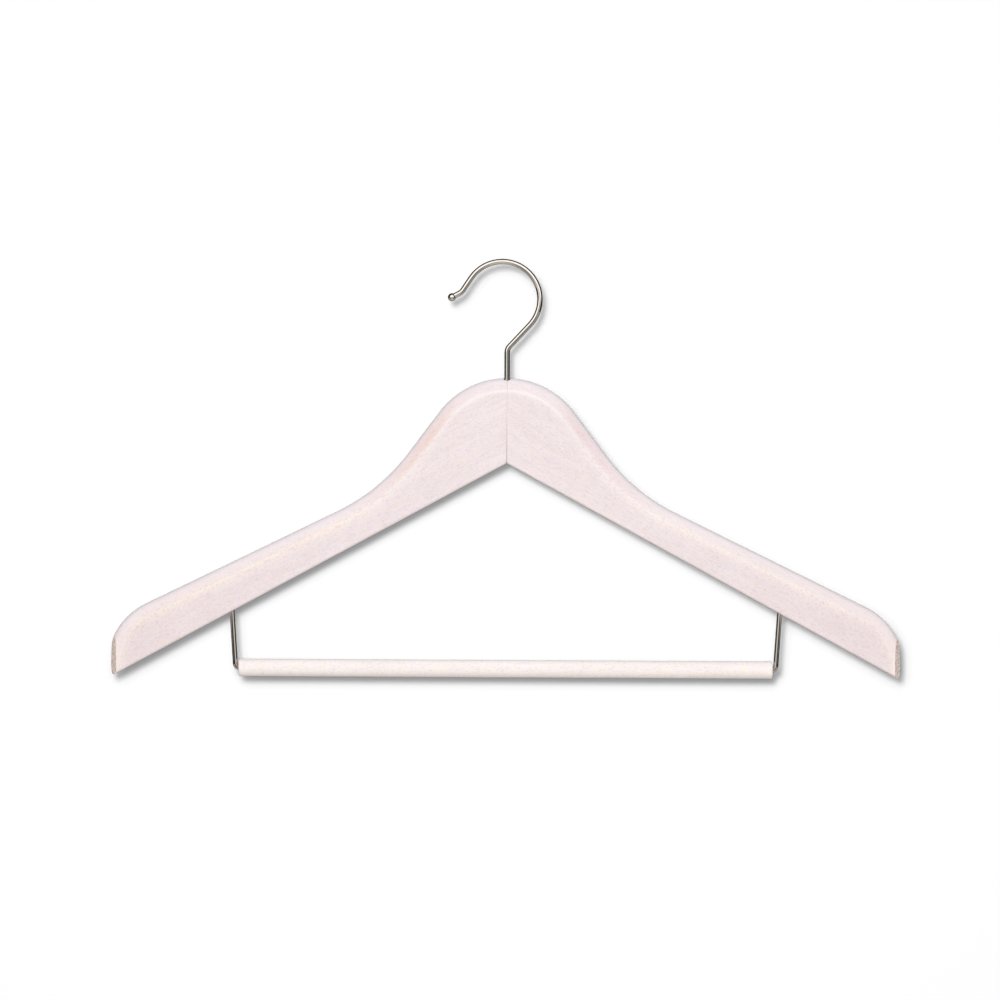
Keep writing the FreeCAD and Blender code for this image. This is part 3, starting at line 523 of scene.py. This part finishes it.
# Flash beside the lens, for the board alone: its tube and its wide dish draw the short soft shadow below
FLASH_BESIDE_LENS = Vector((-0.024, 0, 0.037))
board_alone = set_apart("board_alone", [board])
for name, width, power in (("flash_tube", 0.045, 740), ("flash_dish", 0.14, 500)):
    flash = bpy.data.objects.new(name, bpy.data.lights.new(name, "AREA"))
    flash.data.shape = "DISK"
    flash.data.size = width
    flash.data.energy = power
    flash.location = camera.location + FLASH_BESIDE_LENS
    flash.rotation_euler = (math.pi / 2, 0, 0)
    flash.light_linking.receiver_collection = board_alone
    bpy.context.collection.objects.link(flash)


# Lamp behind the hanger, for its back alone: nothing but the hanger is lit by it or stands in its way
BACK_LIGHT = 1.9
BACK_SPREAD = math.radians(15)
back_lamp = bpy.data.objects.new("back_lamp", bpy.data.lights.new("back_lamp", "SUN"))
back_lamp.data.energy = BACK_LIGHT
back_lamp.data.angle = BACK_SPREAD
back_lamp.rotation_euler = (-math.pi / 2, 0, 0)
back_lamp.visible_glossy = False
bpy.context.collection.objects.link(back_lamp)
hanger_alone = set_apart("hanger_alone", nodes.values())
back_lamp.light_linking.receiver_collection = hanger_alone
back_lamp.light_linking.blocker_collection = hanger_alone


# Softbox before the hanger, which shows in the metal alone
SOFTBOX_WIDTH, SOFTBOX_HEIGHT = 1, 2
SOFTBOX_MIDDLE = (0, -0.34, 0)
WHITE_STARTS, WHITE_WHOLE = -0.03, 0.03
BEAM_STARTS, BEAM_WHOLE = -0.1, -0.18


def softbox_cloth():
    """Cloth with strips at the hook, white above them, and one bright middle lower down.

    The strips give the wire of the hook light lines between dark ones. The middle gives each bar wire one.
    """
    material, tree = start_material("softbox cloth")
    place = add(tree, "SeparateXYZ", {0: add(tree, "TexCoord", {}).outputs["Object"]})
    across, up = place.outputs["X"], place.outputs["Z"]
    over_x = add(tree, "MapRange", {
        "Value": across, "From Min": -SOFTBOX_WIDTH / 2, "From Max": SOFTBOX_WIDTH / 2})
    over_z = add(tree, "MapRange", {
        "Value": up, "From Min": -SOFTBOX_HEIGHT / 2, "From Max": SOFTBOX_HEIGHT / 2})
    strips = add(tree, "ValToRGB", {"Fac": over_x.outputs[0]}, stops=[
        (0.0, "202020"), (0.1, "606060"), (0.2, "F0F0F0"), (0.36, "FFFFFF"), (0.44, "707070"),
        (0.58, "484848"), (0.68, "C8C8C8"), (0.8, "A8A8A8"), (0.92, "303030")])
    at_top = add(tree, "MapRange", {"Value": up, "From Min": WHITE_STARTS, "From Max": WHITE_WHOLE})
    topped = add(tree, "Mix", {0: at_top.outputs[0], 6: strips.outputs[0], 7: WHITE}, data_type="RGBA")
    beam = add(tree, "ValToRGB", {"Fac": over_x.outputs[0]}, stops=[
        (0.05, "202020"), (0.2, "404040"), (0.35, "989898"), (0.47, "FFFFFF"), (0.58, "FFFFFF"),
        (0.67, "B4B4B4"), (0.8, "686868"), (0.95, "404040")])
    low_down = add(tree, "MapRange", {"Value": up, "From Min": BEAM_STARTS, "From Max": BEAM_WHOLE})
    pattern = add(tree, "Mix", {0: low_down.outputs[0], 6: topped.outputs[2], 7: beam.outputs[0]},
                  data_type="RGBA")
    tall = add(tree, "ValToRGB", {"Fac": over_z.outputs[0]}, stops=[
        (0.0, "9C9C9C"), (0.3, "B4B4B4"), (0.44, "C8C8C8"), (0.52, "FFFFFF"), (0.66, "F0F0F0"),
        (1.0, "B0B0B0")])
    shaded = add(tree, "Mix", {0: 1.0, 6: pattern.outputs[2], 7: tall.outputs[0]},
                 data_type="RGBA", blend_type="MULTIPLY")
    warm = add(tree, "Mix", {0: 1.0, 6: shaded.outputs[2], 7: linear("FFFDF9")},
               data_type="RGBA", blend_type="MULTIPLY")
    glow = add(tree, "Emission", {"Color": warm.outputs[2], "Strength": 1.85})
    add(tree, "OutputMaterial", {"Surface": glow.outputs[0]})
    return material


softbox = stage_sheet(
    "softbox", SOFTBOX_MIDDLE, SOFTBOX_WIDTH, SOFTBOX_HEIGHT, -math.pi / 2, softbox_cloth())
softbox.visible_camera = False
softbox.visible_diffuse = False
softbox.visible_shadow = False
softbox.visible_transmission = False
metal = [nodes[name] for name in ("hook", "hook_sleeve", "left_bar_wire", "right_bar_wire")]
softbox.light_linking.receiver_collection = set_apart("metal_alone", metal)


# World: soft studio light, brightest from the front and above, cooler from the top; metal sees a dark room
FRONT_RISE = math.radians(5)
FRONT_LIGHT, ROUND_LIGHT, TOP_LIGHT = 2.07, 0.35, 0.17
world = bpy.data.worlds.new("studio")
world.use_nodes = True
world.cycles.sampling_method = "NONE"
bpy.context.scene.world = world
sky = world.node_tree
sky.nodes.clear()
toward = add(sky, "TexCoord", {}).outputs["Generated"]
front_up = (0, -math.cos(FRONT_RISE), math.sin(FRONT_RISE))
facing = add(sky, "VectorMath", {0: toward, 1: front_up}, operation="DOT_PRODUCT")
ahead = add(sky, "Math", {0: facing.outputs["Value"], 1: 0.0}, operation="MAXIMUM")
gathered = add(sky, "Math", {0: ahead.outputs[0], 1: 2.0}, operation="POWER")
level = add(sky, "Math", {0: gathered.outputs[0], 1: FRONT_LIGHT, 2: ROUND_LIGHT}, operation="MULTIPLY_ADD")
up = add(sky, "SeparateXYZ", {0: toward}).outputs["Z"]
overhead = add(sky, "Math", {0: up, 1: 0.0}, operation="MAXIMUM")
soft = add(sky, "Math", {0: overhead.outputs[0], 1: TOP_LIGHT, 2: level.outputs[0]}, operation="MULTIPLY_ADD")
up_share = add(sky, "MapRange", {"Value": up, "From Min": -1, "From Max": 1})
tint = add(sky, "Mix", {0: up_share.outputs[0], 6: linear("FFF2E0"), 7: linear("F5F8FF")}, data_type="RGBA")
path = add(sky, "LightPath", {})
fill = add(sky, "Background", {"Color": tint.outputs[2], "Strength": soft.outputs[0]})
dark = add(sky, "Background", {"Color": linear("FFF4E6"), "Strength": 0.02})
pale = add(sky, "Background", {"Color": ROOM_WHITE, "Strength": 1.0})
lit = add(sky, "MixShader", {0: path.outputs["Is Glossy Ray"], 1: fill.outputs[0], 2: dark.outputs[0]})
shown = add(sky, "MixShader", {0: path.outputs["Is Camera Ray"], 1: lit.outputs[0], 2: pale.outputs[0]})
add(sky, "OutputWorld", {"Surface": shown.outputs[0]})
